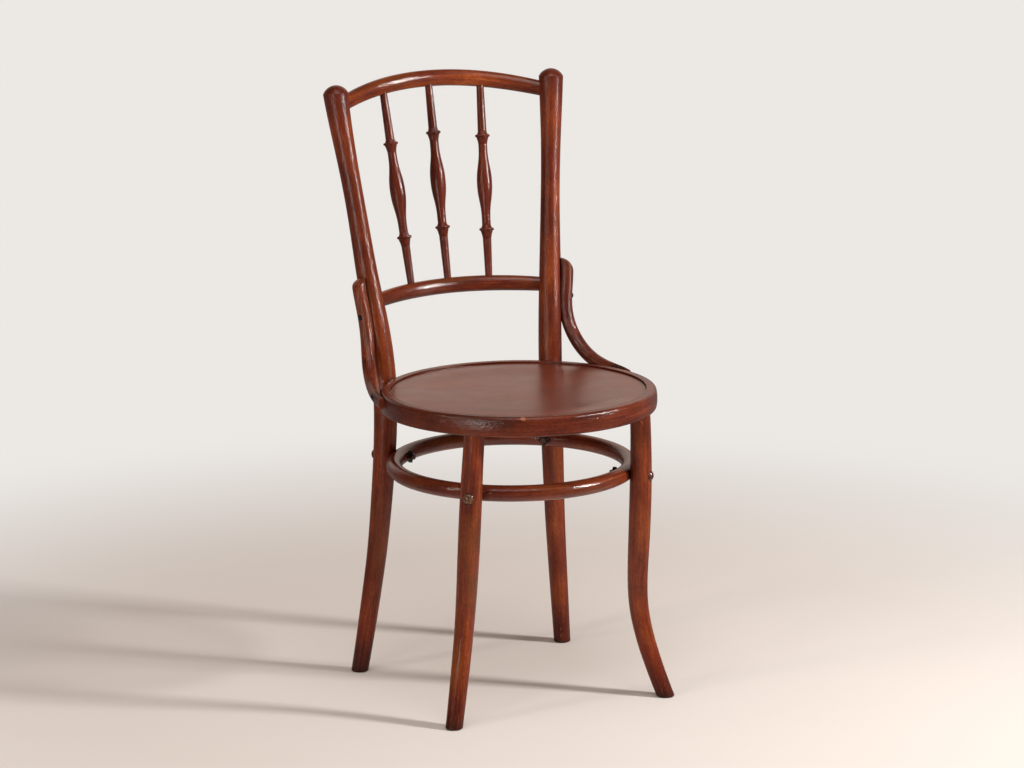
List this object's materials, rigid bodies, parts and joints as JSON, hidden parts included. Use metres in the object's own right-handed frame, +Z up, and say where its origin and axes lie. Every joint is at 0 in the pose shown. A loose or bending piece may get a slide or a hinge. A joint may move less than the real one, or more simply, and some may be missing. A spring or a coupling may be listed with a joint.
{
  "type": "bentwood bistro chair",
  "caption": "Bentwood bistro chair with a round plywood seat, a hoop stretcher, an arched open back with turned spindles, and bent hip braces.",
  "frame": {"origin": "on the floor, under the middle of the chair's overall width and depth", "axes": "+Z up; -Y is the way the sitter faces; left and right in the nodes' names are as seen from the front, so right is +X"},
  "size_m": [0.4184, 0.514, 0.8924],
  "materials": {
    "bent_beech": "reddish-brown stain under gloss varnish",
    "turned_beech": "reddish-brown stain under gloss varnish",
    "plywood_panel": "brown stain, worn satin varnish",
    "brassed_bolts": "tarnished",
    "dark_iron": "dark, lightly rusted"
  },
  "bodies": {
    "root": {"back_post_left": "bent_beech", "back_post_right": "bent_beech", "front_leg_left": "bent_beech", "front_leg_right": "bent_beech", "seat_ring": "bent_beech", "stretcher_ring": "bent_beech", "crest_rail": "bent_beech", "lower_back_rail": "bent_beech", "hip_brace_left": "bent_beech", "hip_brace_right": "bent_beech", "spindle_left": "turned_beech", "spindle_centre": "turned_beech", "spindle_right": "turned_beech", "seat_panel": "plywood_panel", "stretcher_bolts": "brassed_bolts", "stretcher_nuts": "dark_iron", "seat_bolts": "dark_iron", "seat_nuts": "dark_iron", "brace_upper_screws": "dark_iron", "brace_lower_screws": "dark_iron"}
  },
  "joints": []
}
